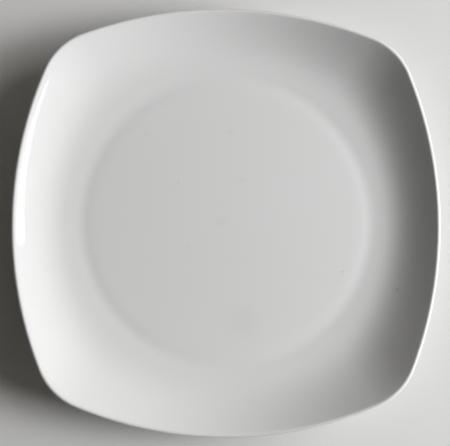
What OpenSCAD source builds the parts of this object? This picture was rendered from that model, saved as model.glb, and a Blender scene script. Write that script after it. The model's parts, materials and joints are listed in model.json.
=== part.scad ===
// Square dinner plate of glazed porcelain: a rounded-square coupe rim that rises from a round well.
// The plate is one pressed and fired clay body. A fused glaze coat covers its face, its lip and its back,
// and a second glaze area covers the base inside the foot ring. The foot ring's resting edge is bare clay.
// +Z is up, the foot rests on z = 0, and the sides of the plate face along X and Y.

/* [Outline] */
// Width of the plate across its sides, over the glazed lip
plate_w = 260; // [230:1:300]
// Radius of each long side, seen from above
side_r = 218; // [180:1:320]
// Radius of each corner, seen from above
corner_r = 43; // [25:1:60]

/* [Rim] */
// Height of the lip above the table in the middle of a side
rim_h = 22.5; // [19:0.5:25]
// How much higher the lip stands at a corner than in the middle of a side
corner_lift = 7; // [0:0.5:9]
// Slope of the flank where it meets the lip in the middle of a side, in degrees
side_tilt = 38; // [30:1:45]
// Slope of the flank where it meets the lip at a corner, in degrees
corner_tilt = 41; // [30:1:46]
// Thickness of the rounded lip, over the glaze
lip_t = 3.2; // [2.4:0.1:4.5]

/* [Well] */
// Diameter of the shallow groove round the well, where it is deepest
well_d = 177; // [155:1:190]
// Radius of the bend that forms the groove
groove_r = 40; // [20:1:60]
// Width of the band over which the floor falls to the groove
floor_fall_w = 6.5; // [4:0.5:15]
// Slope of the floor where it meets the groove, in degrees
floor_tilt = 2.4; // [0.8:0.1:4]
// Slope at which the flank leaves the groove, in degrees
flank_tilt = 7.5; // [3:0.5:12]
// Thickness of the clay in the middle of the well
base_t = 4.4; // [3:0.1:6]

/* [Foot ring] */
// Height of the foot ring, from the table to the underside of the base
foot_h = 2.8; // [2:0.1:4]
// Width of the foot ring at the table
foot_w = 3.2; // [2.2:0.1:5]
// Distance from the groove inwards to the middle of the foot ring
foot_inset = 8; // [5:0.5:20]
// Lean of the foot ring's walls, in degrees from upright
foot_draft = 15; // [5:1:25]
// Radius of the bends between the foot ring and the plate
foot_root_r = 2; // [1:0.1:3]
// Radius of the foot ring's wiped lower edges
foot_edge_r = 0.5; // [0.2:0.1:0.8]

/* [Glaze] */
// Thickness of the fused glaze
glaze_t = 0.25; // [0.15:0.05:0.4]
// Height of the bare band between the table and the glaze on the foot ring
glaze_line_h = 0.9; // [0.8:0.1:1.4]

/* [Facets] */
// Facets along each side of the outline
side_steps = 14; // [8:2:16]
// Facets round each corner of the outline
corner_steps = 8; // [6:2:10]
// Facets across the flank
flank_steps = 7; // [4:1:8]
// Facets round the upper outer quarter of the lip
lip_steps = 3; // [2:1:4]

/* [Hidden] */

// Slope of the underside where it leaves the foot ring, in degrees
back_tilt = 3;
// Handles of the flank's curve, as shares of the distance between its ends
face_handle_shares = [0.3, 0.56];
back_handle_shares = [0.35, 0.5];
// Places of the rings on the level middle of the floor, as shares of its radius
floor_ring_shares = [0.5, 1];
// The most of the foot ring's glazed height that its root bends may take up
root_share = 0.95;
// Facets across the fall of the floor, the groove, a root bend and a lower edge of the foot ring
fall_steps = 2;
groove_steps = 3;
root_steps = 3;
edge_steps = 2;

bisque = [0.86, 0.84, 0.80];
white_glaze = [0.93, 0.93, 0.92];

well_r = well_d / 2;
foot_r = well_r - foot_inset;
floor_z = foot_h + base_t;
level_r = well_r - groove_r * sin(floor_tilt) - floor_fall_w;
fall_r = floor_fall_w / sin(floor_tilt);
groove_z = floor_z - (fall_r + groove_r) * (1 - cos(floor_tilt));
clay_lip_r = lip_t / 2 - glaze_t;
// How far each wall of the foot ring would reach from its middle at the height of the base
wall_reach = foot_w / 2 + foot_h * tan(foot_draft);
root_r = min(foot_root_r, root_share * (foot_h - glaze_line_h) / (1 - sin(foot_draft)));

// The outline is four side arcs and four corner arcs, each side arc tangent to its corners.
// One side arc's centre is on the X axis, and the first corner arc's centre is on the diagonal.
side_centre = plate_w / 2 - side_r;
corner_centre = (side_centre + sqrt(2 * pow(side_r - corner_r, 2) - pow(side_centre, 2))) / 2;
// Half of the angle that a side arc spans
side_turn = atan2(corner_centre, corner_centre - side_centre);

function on_side(turn) = [side_centre, 0] + (side_r - glaze_t) * [cos(turn), sin(turn)];
function on_corner(turn) = [corner_centre, corner_centre] + (corner_r - glaze_t) * [cos(turn), sin(turn)];

// One quarter of the clay's outline, from the start of the +X side to the end of its corner
quarter_outline = concat(
    [for (i = [0 : side_steps - 1]) on_side(side_turn * (2 * i / side_steps - 1))],
    [for (i = [0 : corner_steps - 1]) on_corner(side_turn + (90 - 2 * side_turn) * i / corner_steps)]
);

// Rays from the plate's axis to the clay's outline, each as [its direction, its length]
rays = [
    for (quarter = [0 : 3])
        for (p = quarter_outline)
            [atan2(p.y, p.x) + 90 * quarter, norm(p)]
];
shortest_ray = norm(on_side(0));
longest_ray = norm(on_corner(45));

// 0 in the middle of a side and 1 at a corner
function cornerness(ray) = (ray[1] - shortest_ray) / (longest_ray - shortest_ray);

function reversed(path) = [for (i = [len(path) - 1 : -1 : 0]) path[i]];

// Points of an arc between two directions as seen from its centre, both ends included
function arc(centre, r, from, to, steps) =
    [for (i = [0 : steps]) let (a = from + (to - from) * i / steps) centre + r * [cos(a), sin(a)]];

// Inner points of a Bezier curve between two points, with its slope at each
function swept(from, to, from_tilt, to_tilt, shares, steps) =
    let (
        span = norm(to - from),
        near = from + shares[0] * span * [cos(from_tilt), sin(from_tilt)],
        far = to - shares[1] * span * [cos(to_tilt), sin(to_tilt)]
    )
    [
        for (i = [1 : steps - 1])
            let (t = i / steps, u = 1 - t)
            u * u * u * from + 3 * u * u * t * near + 3 * u * t * t * far + t * t * t * to
    ];

// Profiles are lists of [distance from the plate's axis, height].

// The floor of the well: level in the middle, then falling, then bending up through the groove
floor_profile = concat(
    [for (share = floor_ring_shares) [share * level_r, floor_z]],
    [
        for (i = [1 : fall_steps])
            let (tilt = floor_tilt * i / fall_steps)
            [level_r + fall_r * sin(tilt), floor_z - fall_r * (1 - cos(tilt))]
    ],
    [
        for (i = [1 : groove_steps])
            let (tilt = -floor_tilt + (floor_tilt + flank_tilt) * i / groove_steps)
            [well_r + groove_r * sin(tilt), groove_z + groove_r * (1 - cos(tilt))]
    ]
);

// A point on the foot ring's outer wall (side = 1) or inner wall (side = -1)
function wall_point(side, z) = [foot_r + side * (foot_w / 2 + z * tan(foot_draft)), z];

// The bend from the underside of the flank down to the foot ring's outer wall
outer_root =
    let (
        setback = root_r * tan((90 - foot_draft - back_tilt) / 2),
        start = [foot_r + wall_reach, foot_h] + setback * [cos(back_tilt), sin(back_tilt)],
        centre = start + root_r * [sin(back_tilt), -cos(back_tilt)]
    )
    arc(centre, root_r, 90 + back_tilt, 180 - foot_draft, root_steps);

// The bend from the foot ring's inner wall up to the base
inner_root =
    let (
        setback = root_r * tan((90 - foot_draft) / 2),
        centre = [foot_r - wall_reach - setback, foot_h - root_r]
    )
    arc(centre, root_r, foot_draft, 90, root_steps);

// The bare lower edge of the foot ring, from its outer wall round to its inner wall
foot_edge =
    let (reach = foot_w / 2 - foot_edge_r * tan(45 - foot_draft / 2))
    concat(
        arc([foot_r + reach, foot_edge_r], foot_edge_r, -foot_draft, -90, edge_steps),
        arc([foot_r - reach, foot_edge_r], foot_edge_r, -90, foot_draft - 180, edge_steps)
    );

// The face of the flank, the lip and the back of the flank along one ray
function rim_profile(ray) =
    let (
        share = cornerness(ray),
        tilt = side_tilt + (corner_tilt - side_tilt) * share,
        centre = [ray[1] - clay_lip_r, rim_h + corner_lift * share - glaze_t - clay_lip_r],
        turns = concat(
            [90 + tilt],
            [for (i = [0 : lip_steps]) 90 * (1 - i / lip_steps)],
            [tilt / 2 - 45, tilt - 90]
        ),
        lip = [for (turn = turns) centre + clay_lip_r * [cos(turn), sin(turn)]],
        lip_end = lip[len(lip) - 1],
        groove_end = floor_profile[len(floor_profile) - 1]
    )
    concat(
        swept(groove_end, lip[0], flank_tilt, tilt, face_handle_shares, flank_steps),
        lip,
        reversed(swept(outer_root[0], lip_end, back_tilt, tilt, back_handle_shares, flank_steps - 1))
    );

// All of the clay under the main glaze coat, from the well outwards and back to the foot ring
function coated_profile(ray) =
    concat(floor_profile, rim_profile(ray), outer_root, [wall_point(1, glaze_line_h)]);

// The clay under the base's own glaze, from the foot ring's inner wall inwards
base_profile = concat([wall_point(-1, glaze_line_h)], inner_root);

// A profile moved out from the clay by the glaze's thickness
function glazed(path) = [
    for (i = [0 : len(path) - 1])
        let (along = path[min(i + 1, len(path) - 1)] - path[max(i - 1, 0)])
        path[i] + glaze_t * [-along.y, along.x] / norm(along)
];

// A closed solid from one profile for each ray. Every profile leads outwards from a point at top_z
// on the axis and comes back to a point at bottom_z on the axis.
module spun(profiles, top_z, bottom_z) {
    n = len(rays);
    rings = len(profiles[0]);
    last = n * rings + 1;
    points = concat(
        [[0, 0, top_z]],
        [
            for (ring = [0 : rings - 1])
                for (k = [0 : n - 1])
                    let (p = profiles[k][ring])
                    [p.x * cos(rays[k][0]), p.x * sin(rays[k][0]), p.y]
        ],
        [[0, 0, bottom_z]]
    );
    // Each four-sided patch is cut from its corner nearest the axis, so that the glaze and the clay
    // that it lies on are cut alike
    patches = [
        for (ring = [0 : rings - 2])
            let (outwards = profiles[0][ring].x < profiles[0][ring + 1].x)
            for (k = [0 : n - 1])
                let (
                    a = 1 + ring * n + k,
                    b = 1 + ring * n + (k + 1) % n,
                    halves = outwards
                        ? [[a, b, b + n], [a, b + n, a + n]]
                        : [[a, b, a + n], [b, b + n, a + n]]
                )
                for (face = halves)
                    face
    ];
    polyhedron(
        points,
        concat(
            [for (k = [0 : n - 1]) [0, 1 + (k + 1) % n, 1 + k]],
            patches,
            [for (k = [0 : n - 1]) [last, last - n + k, last - n + (k + 1) % n]]
        )
    );
}

// The fired clay, with its foot ring
module porcelain_body() {
    color(bisque)
        spun([for (ray = rays) concat(coated_profile(ray), foot_edge, base_profile)], floor_z, foot_h);
}

// The fused coat over the well, the flank, the lip and the back, down to the foot ring's bare edge
module glaze_coat() {
    color(white_glaze)
        spun(
            [for (ray = rays) let (clay = coated_profile(ray)) concat(glazed(clay), reversed(clay))],
            floor_z + glaze_t,
            floor_z
        );
}

// The fused coat on the underside of the base, inside the foot ring
module base_glaze() {
    color(white_glaze)
        spun(
            [for (ray = rays) concat(reversed(base_profile), glazed(base_profile))],
            foot_h,
            foot_h - glaze_t
        );
}

porcelain_body();
glaze_coat();
base_glaze();
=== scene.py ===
# %% [markdown]
# # A square dinner plate in glazed porcelain
# The plate is one piece of fired clay under a coat of fused glass. This notebook shapes three pieces: the
# clay body, the glaze over its face and back, and the small area of glaze inside the foot ring. It then
# gives them their finish and lights them by one soft window. It begins by loading the solids that fix the
# plate's real size.

# %% Load the fixed frame
import json
import math

import bpy
from mathutils import Matrix, Quaternion, Vector
from mathutils.bvhtree import BVHTree


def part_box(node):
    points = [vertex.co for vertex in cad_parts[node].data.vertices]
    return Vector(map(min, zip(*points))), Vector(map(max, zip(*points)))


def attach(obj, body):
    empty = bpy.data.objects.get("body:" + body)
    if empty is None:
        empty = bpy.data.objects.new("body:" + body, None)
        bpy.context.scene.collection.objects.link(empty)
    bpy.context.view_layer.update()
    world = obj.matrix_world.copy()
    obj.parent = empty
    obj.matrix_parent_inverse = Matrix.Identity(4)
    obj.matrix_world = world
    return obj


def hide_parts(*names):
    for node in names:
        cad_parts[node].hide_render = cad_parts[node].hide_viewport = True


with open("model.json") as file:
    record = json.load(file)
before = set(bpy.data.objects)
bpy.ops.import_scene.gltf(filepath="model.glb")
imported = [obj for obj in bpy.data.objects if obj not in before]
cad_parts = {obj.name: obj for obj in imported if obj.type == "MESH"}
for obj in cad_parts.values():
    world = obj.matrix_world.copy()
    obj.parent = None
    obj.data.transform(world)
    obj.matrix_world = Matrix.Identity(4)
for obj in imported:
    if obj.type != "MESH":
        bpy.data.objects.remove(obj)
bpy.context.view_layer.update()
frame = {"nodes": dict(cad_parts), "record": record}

# %% [markdown]
# ## Sizes
# A plate like this is drawn as an outline seen from above and a profile seen from the side. The sizes that
# the solids show are read from them, so that the two can't drift apart. The rest are bends and slopes, which
# no box shows, so they are named here in metres and degrees.

# %% Read the sizes that the solids show
LIP_SHARE = 0.95
MID_SIDE_SHARE = 0.02
NEAR_AXIS = 0.001

coat_low, coat_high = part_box("glaze_coat")
clay_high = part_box("porcelain_body")[1]
base_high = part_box("base_glaze")[1]
coat_points = [v.co for v in frame["nodes"]["glaze_coat"].data.vertices]
foot_mount = frame["record"]["mounts"][0]


def at_mid_side_lip(point):
    return point.x > LIP_SHARE * coat_high.x and abs(point.y) < MID_SIDE_SHARE * coat_high.x


PLATE_WIDTH = coat_high.x - coat_low.x
GLAZE = coat_high.x - clay_high.x
CORNER_HEIGHT = coat_high.z
SIDE_HEIGHT = max(p.z for p in coat_points if at_mid_side_lip(p))
GLAZE_LINE = coat_low.z
FOOT_HEIGHT = base_high.z
FOOT_RADIUS = foot_mount["pos_m"][0]
FLOOR_HEIGHT = max(p.z for p in coat_points if p.xy.length < NEAR_AXIS)
print(f"plate {PLATE_WIDTH:.4f} m wide, lip {SIDE_HEIGHT:.4f} to {CORNER_HEIGHT:.4f} m high")
print(f"glaze {GLAZE:.5f} m thick")

# %% Name the bends and slopes
SIDE_ARC = 0.218
CORNER_ARC = 0.043
LIP_THICKNESS = 0.0032
WELL_RADIUS = 0.0885
GROOVE_BEND = 0.040
FLOOR_FALL = 0.0065
FLOOR_TILT = math.radians(2.4)
FLANK_TILT = math.radians(7.5)
SIDE_TILT = math.radians(38)
CORNER_TILT = math.radians(41)
BACK_TILT = math.radians(3)
# Handles are shares of the distance between the ends of a curve
FACE_HANDLES = (0.3, 0.56)
BACK_HANDLES = (0.35, 0.5)
FOOT_WIDTH = 0.0032
FOOT_DRAFT = math.radians(15)
FOOT_ROOT = 0.002
FOOT_EDGE = 0.0005

# %% [markdown]
# ## Formulas as nodes
# A Geometry Nodes tree writes a sum as a chain of boxes, which is hard to read in a script. The small class
# below wraps a socket, so that plain arithmetic adds the right box. A formula for the plate's shape then
# looks as it would on paper. The same class serves the finishes, because shaders use the same boxes.

# %% Write arithmetic on sockets
class Field:
    def __init__(self, tree, socket):
        self.tree = tree
        self.socket = socket

    def __add__(self, other):
        return combine("ADD", self, other)

    def __radd__(self, other):
        return combine("ADD", other, self)

    def __sub__(self, other):
        return combine("SUBTRACT", self, other)

    def __rsub__(self, other):
        return combine("SUBTRACT", other, self)

    def __mul__(self, other):
        return combine("MULTIPLY", self, other)

    def __rmul__(self, other):
        return combine("MULTIPLY", other, self)

    def __truediv__(self, other):
        return combine("DIVIDE", self, other)


def combine(operation, *values):
    tree = next(value.tree for value in values if isinstance(value, Field))
    node = tree.nodes.new("ShaderNodeMath")
    node.operation = operation
    for socket, value in zip(node.inputs, values):
        feed(tree, socket, value)
    return Field(tree, node.outputs[0])


def feed(tree, socket, value):
    if isinstance(value, Field):
        tree.links.new(value.socket, socket)
    else:
        socket.default_value = value


def sine(angle):
    return combine("SINE", angle)


def cosine(angle):
    return combine("COSINE", angle)


def tangent(angle):
    return combine("TANGENT", angle)


def root(value):
    return combine("SQRT", value)


def clamped(value):
    return combine("MINIMUM", combine("MAXIMUM", value, 0.0), 1.0)


# %% Add any other node in one call
def add_node(tree, kind, settings=None, **inputs):
    """Inputs are named as on the node, with _ for a space."""
    node = tree.nodes.new(kind)
    for name, value in (settings or {}).items():
        setattr(node, name, value)
    for name, value in inputs.items():
        feed(tree, node.inputs[name.replace("_", " ")], value)
    return node


def output(tree, node, name=0):
    return Field(tree, node.outputs[name])


def between(value, low, high):
    """A soft step from 0 at low to 1 at high. Low may be above high, and the step then falls."""
    step = value.tree.nodes.new("ShaderNodeMapRange")
    step.interpolation_type = "SMOOTHSTEP"
    feed(value.tree, step.inputs["Value"], value)
    feed(value.tree, step.inputs["From Min"], low)
    feed(value.tree, step.inputs["From Max"], high)
    return Field(value.tree, step.outputs["Result"])

# %% [markdown]
# ## The window and the room
# The photo was taken from above, beside a window that is off to the right. The plate mirrors it as a white
# streak on the left rim, and the right flank lies in the plate's own shade. One rectangular lamp stands for
# the window. A wider and weaker lamp round it stands for the glow of the wall and the sill, which is too
# soft to be mirrored, so glossy rays don't meet it. Both hang near, so the light falls off across the plate
# as it does in the photo. A dome that is a little brighter on that side stands for the room, and what the
# eye sees behind the plate is a plain pale backdrop.

# %% Place the camera
# The lens and the sensor are in millimetres and the angles in radians
LENS = 56.91
CAMERA_PLACE = Vector((-0.0151, -0.0311, 0.45))
CAMERA_TILT = 0.0667
CAMERA_LEAN = -0.0312
CAMERA_ROLL = 0.0033
SENSOR_WIDTH = 36
NEAREST_SEEN = 0.01

camera = bpy.data.objects.new("camera", bpy.data.cameras.new("camera"))
camera.data.lens = LENS
camera.data.sensor_fit = "HORIZONTAL"
camera.data.sensor_width = SENSOR_WIDTH
camera.data.clip_start = NEAREST_SEEN
lean = Matrix.Rotation(CAMERA_LEAN, 3, "Y")
tilt = Matrix.Rotation(CAMERA_TILT, 3, "X")
roll = Matrix.Rotation(CAMERA_ROLL, 3, "Z")
camera.matrix_world = Matrix.Translation(CAMERA_PLACE) @ (lean @ tilt @ roll).to_4x4()
bpy.context.scene.collection.objects.link(camera)
bpy.context.scene.camera = camera
bpy.context.scene.view_settings.view_transform = "Standard"
print("camera", [round(v, 3) for v in CAMERA_PLACE])

# %% Hang the window and its glow
def hang_lamp(name, azimuth, elevation, distance, width, height, radiance, roll=0.0):
    """A flat lamp that faces the plate. Its azimuth is counted from +X towards +Y, in degrees."""
    turn, rise = math.radians(azimuth), math.radians(elevation)
    towards = Vector((math.cos(rise) * math.cos(turn), math.cos(rise) * math.sin(turn), math.sin(rise)))
    lamp = bpy.data.objects.new(name, bpy.data.lights.new(name, "AREA"))
    lamp.data.shape = "RECTANGLE"
    lamp.data.size = width
    lamp.data.size_y = height
    lamp.data.energy = radiance * math.pi * width * height
    lamp.location = towards * distance
    lamp.visible_camera = False
    facing = towards.to_track_quat("Z", "Y") @ Quaternion((0, 0, 1), math.radians(roll))
    lamp.rotation_euler = facing.to_euler()
    bpy.context.scene.collection.objects.link(lamp)
    print(f"{name} of {width} by {height} m at {distance} m")
    return lamp


hang_lamp(
    "window", azimuth=-5.6, elevation=28.25, distance=1.55, width=0.75, height=0.35, radiance=16.9, roll=6.5
)
glow = hang_lamp("glow", azimuth=8.5, elevation=33, distance=1.6, width=1.29, height=0.58, radiance=7.5)
glow.visible_glossy = False

# %% Light the room with a graded dome
ROOM_LIGHT = 0.11
ROOM_SLOPE = (0.144, 0.072, -0.056)
ROOM_COLOUR = (1.0, 0.94, 0.82, 1)
DARKEST_ROOM = 0.005
BACKDROP = (0.62, 0.62, 0.61, 1)


def shown(tree):
    """1 for rays that show a thing straight, mirrored or through glass, and 0 for light that falls on it."""
    ray = tree.nodes.new("ShaderNodeLightPath")
    straight = output(tree, ray, "Is Camera Ray")
    mirrored = output(tree, ray, "Is Glossy Ray")
    through = output(tree, ray, "Is Transmission Ray")
    return combine("MAXIMUM", combine("MAXIMUM", straight, mirrored), through)


def mix_shaders(tree, share, first, second, end):
    mix = tree.nodes.new("ShaderNodeMixShader")
    feed(tree, mix.inputs["Fac"], share)
    tree.links.new(first.outputs[0], mix.inputs[1])
    tree.links.new(second.outputs[0], mix.inputs[2])
    tree.links.new(mix.outputs[0], tree.nodes[end].inputs["Surface"])


room = bpy.data.worlds.new("room")
bpy.context.scene.world = room
room.use_nodes = True
tree = room.node_tree
slope = add_node(tree, "ShaderNodeVectorMath", {"operation": "DOT_PRODUCT"})
feed(tree, slope.inputs[0], output(tree, add_node(tree, "ShaderNodeTexCoord"), "Generated"))
slope.inputs[1].default_value = ROOM_SLOPE
strength = combine("MAXIMUM", output(tree, slope, "Value") + ROOM_LIGHT, DARKEST_ROOM)
dome = tree.nodes["Background"]
dome.inputs["Color"].default_value = ROOM_COLOUR
feed(tree, dome.inputs["Strength"], strength)
backdrop = tree.nodes.new("ShaderNodeBackground")
backdrop.inputs["Color"].default_value = BACKDROP
mix_shaders(tree, shown(tree), dome, backdrop, "World Output")
print("room light", ROOM_LIGHT)

# %% [markdown]
# ## The floor
# A studio lays the plate on a sheet of paper that sweeps up behind it, so that no horizon shows. A flat
# sheet does the same here: near the plate it is plain matt paper and keeps the shadow, and further out it
# fades into the backdrop's own colour. Only the eye sees the fade, and the light that the sheet sends back
# to the plate stays that of paper.

# %% Lay the floor
FLOOR_SPAN = 6.0
FLOOR_COLOUR = (0.80, 0.80, 0.79, 1)
PAPER_ROUGHNESS = 0.8
FADE_START = 0.2
FADE_END = 0.6

floor_mesh = bpy.data.meshes.new("floor")
corners = [(x * FLOOR_SPAN, y * FLOOR_SPAN, 0) for x, y in ((-1, -1), (1, -1), (1, 1), (-1, 1))]
floor_mesh.from_pydata(corners, [], [(0, 1, 2, 3)])
floor = bpy.data.objects.new("floor", floor_mesh)
bpy.context.scene.collection.objects.link(floor)
floor_finish = bpy.data.materials.new("floor")
floor_finish.use_nodes = True
tree = floor_finish.node_tree
sheet = tree.nodes["Principled BSDF"]
sheet.inputs["Base Color"].default_value = FLOOR_COLOUR
sheet.inputs["Roughness"].default_value = PAPER_ROUGHNESS
far_sheet = tree.nodes.new("ShaderNodeEmission")
far_sheet.inputs["Color"].default_value = BACKDROP
from_plate = add_node(tree, "ShaderNodeVectorMath", {"operation": "LENGTH"})
feed(tree, from_plate.inputs[0], output(tree, add_node(tree, "ShaderNodeTexCoord"), "Object"))
fade = between(output(tree, from_plate, "Value"), FADE_START, FADE_END)
mix_shaders(tree, fade * shown(tree), sheet, far_sheet, "Material Output")
floor_mesh.materials.append(floor_finish)
print("floor", 2 * FLOOR_SPAN, "m across")

# %% [markdown]
# ## The glaze
# The real finish is clear glass over white clay, so light goes in, meets the white and comes back, with a
# sharp mirror on top. Seen from outside, that is a white base colour under a very smooth surface with the
# refractive index of glass. What keeps it from looking like plastic is small: the glass lies in faint waves
# from the fire, it holds a few pinholes and specks, it is a breath warmer where it runs thick, and cutlery
# has dulled the well a little.

# %% Start a finish
def new_finish(name):
    finish = bpy.data.materials.new(name)
    finish.use_nodes = True
    tree = finish.node_tree
    place = add_node(tree, "ShaderNodeTexCoord")
    parts = add_node(tree, "ShaderNodeSeparateXYZ", Vector=output(tree, place, "Object"))
    return finish, tree, output(tree, place, "Object"), [output(tree, parts, axis) for axis in "XYZ"]


def noise(tree, place, grain, detail=2.0, roughness=0.5):
    """Soft noise from 0 to 1, whose grain is in metres."""
    return output(tree, add_node(
        tree, "ShaderNodeTexNoise", {"noise_dimensions": "3D"},
        Vector=place, Scale=1 / grain, Detail=detail, Roughness=roughness,
    ), "Fac")


# A Mix node has sockets for each kind of value, and these are the numbers of its colour sockets
FIRST_COLOUR = 6
SECOND_COLOUR = 7
MIXED_COLOUR = 2


def blend(tree, share, first, second):
    """A colour between two colours, given as red, green and blue or as another blend."""
    node = tree.nodes.new("ShaderNodeMix")
    node.data_type = "RGBA"
    feed(tree, node.inputs["Factor"], share)
    for socket, colour in ((FIRST_COLOUR, first), (SECOND_COLOUR, second)):
        feed(tree, node.inputs[socket], colour if isinstance(colour, Field) else (*colour, 1))
    return Field(tree, node.outputs[MIXED_COLOUR])


# %% Mark the specks and pinholes
# Each mark is its place on the plate and its radius, in metres
SPECKS = (
    (0.0722, -0.0315, FLOOR_HEIGHT, 0.0007),
    (0.1053, -0.0425, 0.0124, 0.001),
    (-0.0304, 0.0237, FLOOR_HEIGHT, 0.0005),
    (-0.0312, -0.0468, FOOT_HEIGHT - GLAZE, 0.0005),
)
SOFT_SPOTS = (
    (-0.0035, -0.0006, FLOOR_HEIGHT, 0.0028),
    (0.0097, -0.0631, FLOOR_HEIGHT, 0.008),
    (0.0096, 0.0259, FLOOR_HEIGHT, 0.0014),
    (-0.0507, 0.0544, FLOOR_HEIGHT, 0.0018),
    (0.0020, 0.0562, FLOOR_HEIGHT, 0.0015),
    (-0.0246, -0.0163, FLOOR_HEIGHT, 0.0012),
)


def spot(parts, mark, softness):
    """1 in the middle of a round mark and 0 past its edge."""
    radius = mark[3]
    dx, dy, dz = (part - place for part, place in zip(parts, mark))
    return 1.0 - between(root(dx * dx + dy * dy + dz * dz), radius * (1 - softness), radius * (1 + softness))


def any_spot(parts, marks, softness):
    total = spot(parts, marks[0], softness)
    for mark in marks[1:]:
        total = combine("MAXIMUM", total, spot(parts, mark, softness))
    return total


# %% Mix the glaze
# A range is the part of a noise over which its effect sets in
GLAZE_WHITE = (0.83, 0.834, 0.842)
GLAZE_THICK = (0.80, 0.803, 0.797)
SPECK_BROWN = (0.30, 0.27, 0.23)
SPOT_GREY = (0.77, 0.77, 0.76)
CLOUD_GRAIN = 0.09
CLOUD_RANGE = (0.3, 0.7)
CLOUD_SHARE = 0.25
POOL_ABOVE = 0.0012
POOL_BELOW = 0.001
POOL_SHARE = 0.8
SPOT_SOFTNESS = 0.9
SPOT_SHARE = 0.5
SPECK_SOFTNESS = 0.7
SPECK_SHARE = 0.22
WAVE_GRAIN = 0.022
WAVE_HEIGHT = 0.000004
SKIN_GRAIN = 0.0012
SKIN_HEIGHT = 0.00000025
WEAR_GRAIN = 0.012
WEAR_RANGE = (0.45, 0.75)
WORN_WELL_SHARE = 0.9
GLOSS = 0.05
WORN_GLOSS = 0.08
GLASS_IOR = 1.5

white_glaze, tree, place, parts = new_finish("white_glaze")
from_axis = root(parts[0] * parts[0] + parts[1] * parts[1])
in_well = 1.0 - between(from_axis, WORN_WELL_SHARE * WELL_RADIUS, WELL_RADIUS)
cloud = between(noise(tree, place, CLOUD_GRAIN), *CLOUD_RANGE)
pooled = between(parts[2], FOOT_HEIGHT + POOL_ABOVE, FOOT_HEIGHT - POOL_BELOW)
colour = blend(tree, cloud * CLOUD_SHARE, GLAZE_WHITE, GLAZE_THICK)
colour = blend(tree, pooled * POOL_SHARE, colour, GLAZE_THICK)
colour = blend(tree, any_spot(parts, SOFT_SPOTS, SPOT_SOFTNESS) * SPOT_SHARE, colour, SPOT_GREY)
colour = blend(tree, any_spot(parts, SPECKS, SPECK_SOFTNESS) * SPECK_SHARE, colour, SPECK_BROWN)
wear = in_well * between(noise(tree, place, WEAR_GRAIN, detail=4.0, roughness=0.6), *WEAR_RANGE)
gloss = GLOSS + wear * (WORN_GLOSS - GLOSS)
waves = add_node(
    tree, "ShaderNodeBump", Strength=1.0, Distance=WAVE_HEIGHT,
    Height=noise(tree, place, WAVE_GRAIN, detail=1.0),
)
skin = add_node(
    tree, "ShaderNodeBump", Strength=1.0, Distance=SKIN_HEIGHT,
    Height=noise(tree, place, SKIN_GRAIN), Normal=output(tree, waves),
)
shader = tree.nodes["Principled BSDF"]
feed(tree, shader.inputs["Base Color"], colour)
feed(tree, shader.inputs["Roughness"], gloss)
feed(tree, shader.inputs["Normal"], output(tree, skin))
shader.inputs["IOR"].default_value = GLASS_IOR
print("glaze mixed with", len(SPECKS), "specks and", len(SOFT_SPOTS), "soft spots")

# %% [markdown]
# ## The bare clay
# Porcelain that the glaze doesn't cover is called bisque. It is matt, and as fine as eggshell. Here it shows
# only on the foot ring's resting edge, where shelves and tables have greyed it, and along the glaze line,
# where the fire leaves a faint warm blush. A fine noise gives the grain, and the height above the table says
# where the wear and the blush go.

# %% Mix the bisque
BISQUE = (0.77, 0.745, 0.70)
BLUSH = (0.69, 0.61, 0.51)
SCUFF = (0.56, 0.545, 0.52)
BLUSH_BAND = 0.0004
BLUSH_SHARE = 0.45
SCUFF_BAND = 0.00025
SCUFF_GRAIN = 0.006
SCUFF_RANGE = (0.4, 0.65)
SCUFF_SHARE = 0.6
CLAY_GRAIN = 0.00035
CLAY_GRAIN_SHARE = 0.15
CLAY_RELIEF = 0.000012
MATT = 0.85
RUBBED_MATT = 0.65

bare_porcelain, tree, place, parts = new_finish("bare_porcelain")
near_line = between(parts[2], GLAZE_LINE - BLUSH_BAND, GLAZE_LINE)
resting = 1.0 - between(parts[2], 0.0, SCUFF_BAND)
patches = between(noise(tree, place, SCUFF_GRAIN, detail=4.0, roughness=0.6), *SCUFF_RANGE)
fine = noise(tree, place, CLAY_GRAIN, detail=3.0, roughness=0.6)
colour = blend(tree, near_line * BLUSH_SHARE, BISQUE, BLUSH)
colour = blend(tree, resting * patches * SCUFF_SHARE, colour, SCUFF)
colour = blend(tree, fine * CLAY_GRAIN_SHARE, colour, BLUSH)
relief = add_node(tree, "ShaderNodeBump", Strength=1.0, Distance=CLAY_RELIEF, Height=fine)
shader = tree.nodes["Principled BSDF"]
feed(tree, shader.inputs["Base Color"], colour)
feed(tree, shader.inputs["Roughness"], MATT - resting * (MATT - RUBBED_MATT))
feed(tree, shader.inputs["Normal"], output(tree, relief))
print("bisque mixed")

# %% [markdown]
# ## The plate's shape as a rule
# A plate this size could be a box-modelled mesh under a Subdivision Surface, but its outline is true arcs
# and its profile is a few bends joined by slopes, so a rule holds it better. Each stretch of the profile is
# a flat grid: one way it runs along the profile, the other way round the plate. Set Position then carries
# every point of the grid to its place. The outline part of the rule is the same for all stretches, so it is
# worked out once for each tree.

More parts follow.
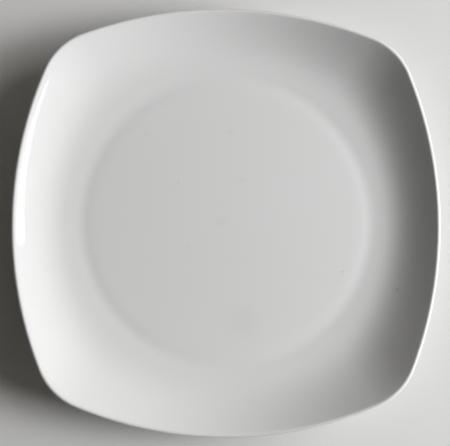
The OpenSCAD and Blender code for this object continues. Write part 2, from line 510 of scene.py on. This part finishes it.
# %% Start a tree with named sizes
SIZES = {
    "Plate width": PLATE_WIDTH,
    "Side arc": SIDE_ARC,
    "Corner arc": CORNER_ARC,
    "Side height": SIDE_HEIGHT,
    "Corner height": CORNER_HEIGHT,
    "Lip thickness": LIP_THICKNESS,
    "Side tilt": SIDE_TILT,
    "Corner tilt": CORNER_TILT,
    "Well radius": WELL_RADIUS,
    "Groove bend": GROOVE_BEND,
    "Floor fall": FLOOR_FALL,
    "Floor tilt": FLOOR_TILT,
    "Flank tilt": FLANK_TILT,
    "Floor height": FLOOR_HEIGHT - GLAZE,
    "Back tilt": BACK_TILT,
    "Foot height": FOOT_HEIGHT,
    "Foot radius": FOOT_RADIUS,
    "Foot width": FOOT_WIDTH,
    "Foot draft": FOOT_DRAFT,
    "Foot root": FOOT_ROOT,
    "Foot edge": FOOT_EDGE,
    "Glaze line": GLAZE_LINE,
    "Glaze thickness": GLAZE,
}


class Shape:
    """A Geometry Nodes tree whose stretches of surface are joined into one piece of the plate."""

    def __init__(self, name):
        self.tree = bpy.data.node_groups.new(name, "GeometryNodeTree")
        self.tree.interface.new_socket("Geometry", in_out="OUTPUT", socket_type="NodeSocketGeometry")
        for label in SIZES:
            self.tree.interface.new_socket(label, in_out="INPUT", socket_type="NodeSocketFloat")
        sizes = self.tree.nodes.new("NodeGroupInput")
        self.size = {label: Field(self.tree, sizes.outputs[label]) for label in SIZES}
        self.strips = []
        # Each grid is 1 by 1 about the origin, so its X and Y give shares of the way, from 0 to 1
        place = add_node(self.tree, "GeometryNodeInputPosition")
        parts = add_node(self.tree, "ShaderNodeSeparateXYZ", Vector=output(self.tree, place))
        self.along = output(self.tree, parts, "X") + 0.5
        self.round = output(self.tree, parts, "Y") + 0.5


# %% Draw the outline
SIDE_COLUMNS = 44
CORNER_COLUMNS = 36
QUARTER_COLUMNS = SIDE_COLUMNS + CORNER_COLUMNS
COLUMNS = 4 * QUARTER_COLUMNS
ROUNDING = 0.00001


def add_outline(shape):
    """For each column, find the direction and length of the ray to the outline, and its cornerness."""
    size = shape.size
    centre = size["Plate width"] / 2 - size["Side arc"]
    gap = size["Side arc"] - size["Corner arc"]
    corner = (centre + root(2 * gap * gap - centre * centre)) / 2
    side_turn = combine("ARCTAN2", corner, corner - centre)
    column = shape.round * COLUMNS
    quarter = combine("FLOOR", column / QUARTER_COLUMNS + ROUNDING)
    step = column - quarter * QUARTER_COLUMNS
    on_side = combine("LESS_THAN", step, SIDE_COLUMNS)
    side_share = step / SIDE_COLUMNS
    corner_share = (step - SIDE_COLUMNS) / CORNER_COLUMNS
    corner_turn = side_turn + (math.pi / 2 - 2 * side_turn) * corner_share
    turn = pick(on_side, side_turn * (side_share * 2 - 1), corner_turn)
    arc = pick(on_side, size["Side arc"], size["Corner arc"]) - size["Glaze thickness"]
    x = pick(on_side, centre, corner) + arc * cosine(turn)
    y = pick(on_side, 0.0, corner) + arc * sine(turn)
    shape.angle = combine("ARCTAN2", y, x) + quarter * (math.pi / 2)
    shape.reach = root(x * x + y * y)
    shortest = size["Plate width"] / 2 - size["Glaze thickness"]
    longest = corner * math.sqrt(2) + size["Corner arc"] - size["Glaze thickness"]
    shape.cornerness = (shape.reach - shortest) / (longest - shortest)


def pick(condition, if_true, if_false):
    node = condition.tree.nodes.new("GeometryNodeSwitch")
    node.input_type = "FLOAT"
    feed(condition.tree, node.inputs["Switch"], condition)
    feed(condition.tree, node.inputs["True"], if_true)
    feed(condition.tree, node.inputs["False"], if_false)
    return Field(condition.tree, node.outputs["Output"])


# %% [markdown]
# ## Stretches of the profile
# Every stretch gives a distance from the axis and a height for each share of the way along it. Only three
# kinds are needed: a straight line, an arc about a centre, and a Bezier curve that leaves and arrives at
# given slopes. Walking from the middle of the well outwards, over the lip and back under to the foot ring,
# keeps the faces pointing outwards, because the surface is always on the walker's left.

# %% Add one stretch to a tree
# Rows of faces along each stretch of the profile
ROWS = {
    "floor": 5,
    "fall": 6,
    "groove": 8,
    "flank": 30,
    "lip": 14,
    "back": 20,
    "root": 10,
    "wall": 6,
    "bare wall": 2,
    "edge": 6,
    "rest": 2,
    "base": 5,
}


def add_stretch(shape, name, point):
    """Lay a grid and carry it to the distance from the axis and the height that point holds."""
    tree = shape.tree
    distance, height = point
    grid = add_node(tree, "GeometryNodeMeshGrid", Size_X=1, Size_Y=1)
    grid.inputs["Vertices X"].default_value = ROWS[name] + 1
    grid.inputs["Vertices Y"].default_value = COLUMNS + 1
    x, y = distance * cosine(shape.angle), distance * sine(shape.angle)
    place = add_node(tree, "ShaderNodeCombineXYZ", X=x, Y=y, Z=height)
    moved = add_node(
        tree, "GeometryNodeSetPosition", Geometry=output(tree, grid, "Mesh"), Position=output(tree, place)
    )
    shape.strips.append(output(tree, moved))


def line(shape, start, end):
    share = shape.along
    return start[0] + (end[0] - start[0]) * share, start[1] + (end[1] - start[1]) * share


def arc(shape, centre, radius, start, end):
    turn = start + (end - start) * shape.along
    return centre[0] + radius * cosine(turn), centre[1] + radius * sine(turn)


def sweep(shape, start, end, start_tilt, end_tilt, handles):
    """A Bezier curve whose handles are shares of the distance between its ends."""
    dx, dz = end[0] - start[0], end[1] - start[1]
    span = root(dx * dx + dz * dz)
    first, last = span * handles[0], span * handles[1]
    near = (start[0] + first * cosine(start_tilt), start[1] + first * sine(start_tilt))
    far = (end[0] - last * cosine(end_tilt), end[1] - last * sine(end_tilt))
    t = shape.along
    u = 1 - t
    weights = (u * u * u, 3 * u * u * t, 3 * u * t * t, t * t * t)
    corners = (start, near, far, end)
    distance = sum(w * p[0] for w, p in zip(weights[1:], corners[1:]))
    height = sum(w * p[1] for w, p in zip(weights[1:], corners[1:]))
    return distance + weights[0] * start[0], height + weights[0] * start[1]


# %% Walk over the face
def add_face(shape):
    """The floor, its fall, the groove and the flank, as far as the lip."""
    size = shape.size
    fall_bend = size["Floor fall"] / sine(size["Floor tilt"])
    level_end = size["Well radius"] - size["Groove bend"] * sine(size["Floor tilt"]) - size["Floor fall"]
    fall_centre = (level_end, size["Floor height"] - fall_bend)
    drop = (fall_bend + size["Groove bend"]) * (1 - cosine(size["Floor tilt"]))
    groove_centre = (size["Well radius"], size["Floor height"] - drop + size["Groove bend"])
    up = math.pi / 2
    add_stretch(shape, "floor", line(shape, (0, size["Floor height"]), (level_end, size["Floor height"])))
    add_stretch(shape, "fall", arc(shape, fall_centre, fall_bend, up, up - size["Floor tilt"]))
    add_stretch(shape, "groove", arc(
        shape, groove_centre, size["Groove bend"], -up - size["Floor tilt"], -up + size["Flank tilt"]
    ))
    groove_end = (
        groove_centre[0] + size["Groove bend"] * sine(size["Flank tilt"]),
        groove_centre[1] - size["Groove bend"] * cosine(size["Flank tilt"]),
    )
    flank_end = lip_point(shape, up + rim_tilt(shape))
    add_stretch(shape, "flank", sweep(
        shape, groove_end, flank_end, size["Flank tilt"], rim_tilt(shape), FACE_HANDLES
    ))


def rim_tilt(shape):
    return shape.size["Side tilt"] + (shape.size["Corner tilt"] - shape.size["Side tilt"]) * shape.cornerness


def lip_radius(shape):
    return shape.size["Lip thickness"] / 2 - shape.size["Glaze thickness"]


def lip_centre(shape):
    size = shape.size
    top = size["Side height"] + (size["Corner height"] - size["Side height"]) * shape.cornerness
    return shape.reach - lip_radius(shape), top - size["Glaze thickness"] - lip_radius(shape)


def lip_point(shape, turn):
    centre = lip_centre(shape)
    return centre[0] + lip_radius(shape) * cosine(turn), centre[1] + lip_radius(shape) * sine(turn)


# %% Walk round the lip and back to the foot
def foot_wall(shape, side, height):
    """A point of the foot ring's outer wall (side 1) or inner wall (side -1)."""
    size = shape.size
    reach = size["Foot width"] / 2 + height * tangent(size["Foot draft"])
    return size["Foot radius"] + side * reach, height


def add_back(shape):
    """The lip, the back of the flank, the bend into the foot ring and its wall down to the glaze line."""
    size = shape.size
    tilt = rim_tilt(shape)
    up = math.pi / 2
    add_stretch(shape, "lip", arc(shape, lip_centre(shape), lip_radius(shape), up + tilt, tilt - up))
    corner = foot_wall(shape, 1, size["Foot height"])
    setback = size["Foot root"] * tangent((up - size["Foot draft"] - size["Back tilt"]) / 2)
    start = (corner[0] + setback * cosine(size["Back tilt"]), corner[1] + setback * sine(size["Back tilt"]))
    centre = (
        start[0] + size["Foot root"] * sine(size["Back tilt"]),
        start[1] - size["Foot root"] * cosine(size["Back tilt"]),
    )
    lip_end = lip_point(shape, tilt - up)
    # The back's curve starts at the foot, so its share is turned round while it is drawn
    shape.along = 1 - shape.along
    add_stretch(shape, "back", sweep(shape, start, lip_end, size["Back tilt"], tilt, BACK_HANDLES))
    shape.along = 1 - shape.along
    wall_turn = math.pi - size["Foot draft"]
    add_stretch(shape, "root", arc(shape, centre, size["Foot root"], up + size["Back tilt"], wall_turn))
    wall_top = (
        centre[0] + size["Foot root"] * cosine(wall_turn),
        centre[1] + size["Foot root"] * sine(wall_turn),
    )
    add_stretch(shape, "wall", line(shape, wall_top, foot_wall(shape, 1, size["Glaze line"])))


# %% Walk round the bare foot
def add_foot(shape):
    """The resting edge of the foot ring, from the glaze line outside to the glaze line inside."""
    size = shape.size
    edge, draft = size["Foot edge"], size["Foot draft"]
    up = math.pi / 2
    reach = size["Foot width"] / 2 - edge * tangent(up / 2 - draft / 2)
    outer, inner = size["Foot radius"] + reach, size["Foot radius"] - reach
    outer_turn, inner_turn = 0 - draft, draft - math.pi
    outer_tip = (outer + edge * cosine(outer_turn), edge + edge * sine(outer_turn))
    inner_tip = (inner + edge * cosine(inner_turn), edge + edge * sine(inner_turn))
    add_stretch(shape, "bare wall", line(shape, foot_wall(shape, 1, size["Glaze line"]), outer_tip))
    add_stretch(shape, "edge", arc(shape, (outer, edge), edge, outer_turn, -up))
    add_stretch(shape, "rest", line(shape, (outer, 0), (inner, 0)))
    add_stretch(shape, "edge", arc(shape, (inner, edge), edge, -up, inner_turn))
    add_stretch(shape, "bare wall", line(shape, inner_tip, foot_wall(shape, -1, size["Glaze line"])))


# %% Walk under the base
def add_base(shape):
    """The foot ring's inner wall from the glaze line up, the bend, and the underside to the axis."""
    size = shape.size
    radius, draft = size["Foot root"], size["Foot draft"]
    up = math.pi / 2
    corner = foot_wall(shape, -1, size["Foot height"])
    setback = radius * tangent((up - draft) / 2)
    centre = (corner[0] - setback, size["Foot height"] - radius)
    wall_top = (centre[0] + radius * cosine(draft), centre[1] + radius * sine(draft))
    add_stretch(shape, "wall", line(shape, foot_wall(shape, -1, size["Glaze line"]), wall_top))
    add_stretch(shape, "root", arc(shape, centre, radius, draft, up))
    add_stretch(shape, "base", line(shape, (centre[0], size["Foot height"]), (0, size["Foot height"])))


# %% [markdown]
# ## Clay and glass
# Joined stretches are a surface of the clay. For the clay body that surface is the whole solid. For the
# glaze it is one side of a thin shell: the same surface is pushed out along its own normals by the glaze's
# thickness, and the two are joined back to back. Fired glass draws up into a round bead where it ends, so
# the thickness swells from nothing over the last fraction of a millimetre above the glaze line.

# %% Join the stretches and finish a tree
WELD = 0.000002
BEAD = 0.0004


def welded(shape, strips):
    joined = shape.tree.nodes.new("GeometryNodeJoinGeometry")
    for strip in strips:
        shape.tree.links.new(strip.socket, joined.inputs[0])
    weld = add_node(
        shape.tree, "GeometryNodeMergeByDistance", Geometry=output(shape.tree, joined), Distance=WELD
    )
    return output(shape.tree, weld)


def glass_over(shape, clay):
    """The clay's surface, and the same surface pushed out by the glaze's thickness."""
    tree = shape.tree
    place = output(tree, add_node(tree, "GeometryNodeInputPosition"))
    height = output(tree, add_node(tree, "ShaderNodeSeparateXYZ", Vector=place), "Z")
    rest = 1 - clamped((height - shape.size["Glaze line"]) / BEAD)
    thickness = shape.size["Glaze thickness"] * root(combine("MAXIMUM", 1 - rest * rest, 0.0))
    push = add_node(
        tree, "ShaderNodeVectorMath", {"operation": "SCALE"},
        Vector=output(tree, add_node(tree, "GeometryNodeInputNormal")), Scale=thickness,
    )
    outer = add_node(tree, "GeometryNodeSetPosition", Geometry=clay, Offset=output(tree, push))
    inner = add_node(tree, "GeometryNodeFlipFaces", Mesh=clay)
    return welded(shape, [output(tree, outer), output(tree, inner)])


def end_tree(shape, surface, finish):
    tree = shape.tree
    smooth = add_node(tree, "GeometryNodeSetShadeSmooth", Geometry=surface)
    real = add_node(tree, "GeometryNodeRealizeInstances", Geometry=output(tree, smooth))
    dressed = add_node(tree, "GeometryNodeSetMaterial", Geometry=output(tree, real))
    dressed.inputs["Material"].default_value = finish
    end = tree.nodes.new("NodeGroupOutput")
    tree.links.new(dressed.outputs[0], end.inputs[0])


# %% Turn a tree into a plain mesh
def make_piece(name, shape):
    piece = bpy.data.objects.new(name, bpy.data.meshes.new(name))
    bpy.context.scene.collection.objects.link(piece)
    modifier = piece.modifiers.new("Shape", "NODES")
    modifier.node_group = shape.tree
    for item in shape.tree.interface.items_tree:
        if item.in_out == "INPUT":
            modifier[item.identifier] = SIZES[item.name]
    seen_by = bpy.context.evaluated_depsgraph_get()
    made = bpy.data.meshes.new_from_object(piece.evaluated_get(seen_by))
    piece.modifiers.clear()
    piece.data = made
    made.name = name
    # The grids leave an empty slot in front of the finish
    made.materials.pop(index=0)
    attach(piece, "root")
    print(name, len(made.polygons), "faces")
    return piece


# %% [markdown]
# ## The clay body
# This is the plate as it comes out of the first firing: face, lip, back, foot ring and base in one closed
# surface. Only the foot ring's edge stays in sight, yet the whole body is here, because the glaze lies on
# it.

# %% Make the clay body
clay_shape = Shape("clay body")
add_outline(clay_shape)
add_face(clay_shape)
add_back(clay_shape)
add_foot(clay_shape)
add_base(clay_shape)
end_tree(clay_shape, welded(clay_shape, clay_shape.strips), bare_porcelain)
clay_body = make_piece("clay_body", clay_shape)
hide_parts("porcelain_body")

# %% [markdown]
# ## The glaze on face and back
# The potter dips the fired body and wipes the foot. The coat therefore follows the clay everywhere at one
# thickness and ends in a bead above the table.

# %% Make the glaze coat
coat_shape = Shape("glaze over face and back")
add_outline(coat_shape)
add_face(coat_shape)
add_back(coat_shape)
end_tree(coat_shape, glass_over(coat_shape, welded(coat_shape, coat_shape.strips)), white_glaze)
face_and_back_glaze = make_piece("face_and_back_glaze", coat_shape)
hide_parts("glaze_coat")

# %% [markdown]
# ## The glaze under the base
# Wiping the foot parts the glaze inside the ring from the rest. It is made the same way, from the inner
# wall's glaze line to the axis.

# %% Make the glaze inside the foot ring
base_shape = Shape("glaze under the base")
add_outline(base_shape)
add_base(base_shape)
end_tree(base_shape, glass_over(base_shape, welded(base_shape, base_shape.strips)), white_glaze)
under_glaze = make_piece("under_glaze", base_shape)
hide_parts("base_glaze")

# %% [markdown]
# ## Does it match the solids?
# The pieces stand for solids with flat facets, so each point of a solid should lie almost on its piece. The
# largest gap is printed. Edges that are open, or shared by more than two faces, would show a hole or a fold.

# %% Measure the pieces against the solids
def largest_gap(piece, node):
    corners = [v.co for v in piece.data.vertices]
    surface = BVHTree.FromPolygons(corners, [p.vertices for p in piece.data.polygons])
    gaps = [surface.find_nearest(v.co)[3] for v in frame["nodes"][node].data.vertices]
    return max(gaps)


def loose_edges(piece):
    uses = {}
    for polygon in piece.data.polygons:
        for key in polygon.edge_keys:
            uses[key] = uses.get(key, 0) + 1
    return sum(count != 2 for count in uses.values())


dressed = {"porcelain_body": clay_body, "glaze_coat": face_and_back_glaze, "base_glaze": under_glaze}
for node, piece in dressed.items():
    print(f"{piece.name}: within {largest_gap(piece, node) * 1000:.3f} mm, {loose_edges(piece)} loose edges")
